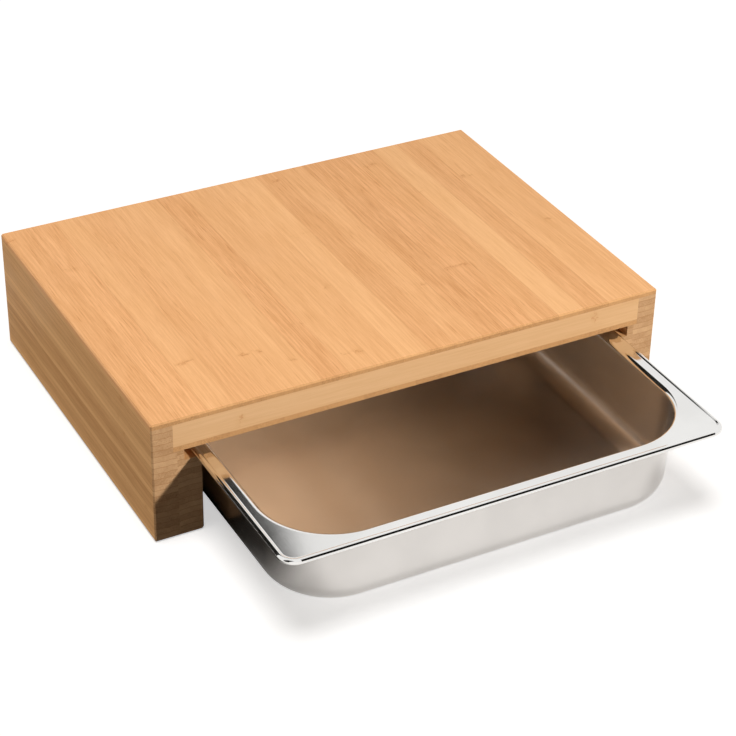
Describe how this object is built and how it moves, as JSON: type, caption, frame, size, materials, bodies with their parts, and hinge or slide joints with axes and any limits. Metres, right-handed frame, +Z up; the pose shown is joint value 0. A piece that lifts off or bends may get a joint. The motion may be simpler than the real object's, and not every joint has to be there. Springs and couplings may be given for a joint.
{
  "type": "cutting board with drawer tray",
  "caption": "Bamboo cutting board on two legs, with a pressed steel tray that hangs by its rim in side grooves under the board and slides out at the front.",
  "frame": {"origin": "on the table, in the middle of the footprint of the board and the pulled-out tray", "axes": "+X to the right and +Y to the back, seen from the side where the tray comes out; +Z up"},
  "size_m": [0.384, 0.4086, 0.092],
  "materials": {
    "bamboo_face": "sanded and oiled bamboo, grain front to back",
    "bamboo_under": "sanded bamboo, grain front to back",
    "bamboo_core": "sanded bamboo, grain left to right",
    "bamboo_leg": "sanded and oiled bamboo, end grain at front and back",
    "steel": "stainless, bright outside, satin inside"
  },
  "bodies": {
    "board": {"core_board": "bamboo_core", "face_strip_01": "bamboo_face", "face_strip_02": "bamboo_face", "face_strip_03": "bamboo_face", "face_strip_04": "bamboo_face", "face_strip_05": "bamboo_face", "face_strip_06": "bamboo_face", "face_strip_07": "bamboo_face", "face_strip_08": "bamboo_face", "face_strip_09": "bamboo_face", "face_strip_10": "bamboo_face", "face_strip_11": "bamboo_face", "face_strip_12": "bamboo_face", "face_strip_13": "bamboo_face", "face_strip_14": "bamboo_face", "face_strip_15": "bamboo_face", "face_strip_16": "bamboo_face", "face_strip_17": "bamboo_face", "face_strip_18": "bamboo_face", "face_strip_19": "bamboo_face", "left_leg_inner": "bamboo_leg", "left_leg_outer": "bamboo_leg", "left_leg_runner": "bamboo_leg", "right_leg_inner": "bamboo_leg", "right_leg_outer": "bamboo_leg", "right_leg_runner": "bamboo_leg", "under_strip_01": "bamboo_under", "under_strip_02": "bamboo_under", "under_strip_03": "bamboo_under", "under_strip_04": "bamboo_under", "under_strip_05": "bamboo_under", "under_strip_06": "bamboo_under", "under_strip_07": "bamboo_under", "under_strip_08": "bamboo_under", "under_strip_09": "bamboo_under", "under_strip_10": "bamboo_under", "under_strip_11": "bamboo_under", "under_strip_12": "bamboo_under", "under_strip_13": "bamboo_under", "under_strip_14": "bamboo_under", "under_strip_15": "bamboo_under", "under_strip_16": "bamboo_under", "under_strip_17": "bamboo_under", "under_strip_18": "bamboo_under"},
    "tray": {"tray": "steel"}
  },
  "joints": [
    {"name": "tray_slide", "type": "slide", "parent": "board", "child": "tray", "axis": [0, -1, 0], "range_m": [-0.1326, 0.1374]}
  ]
}
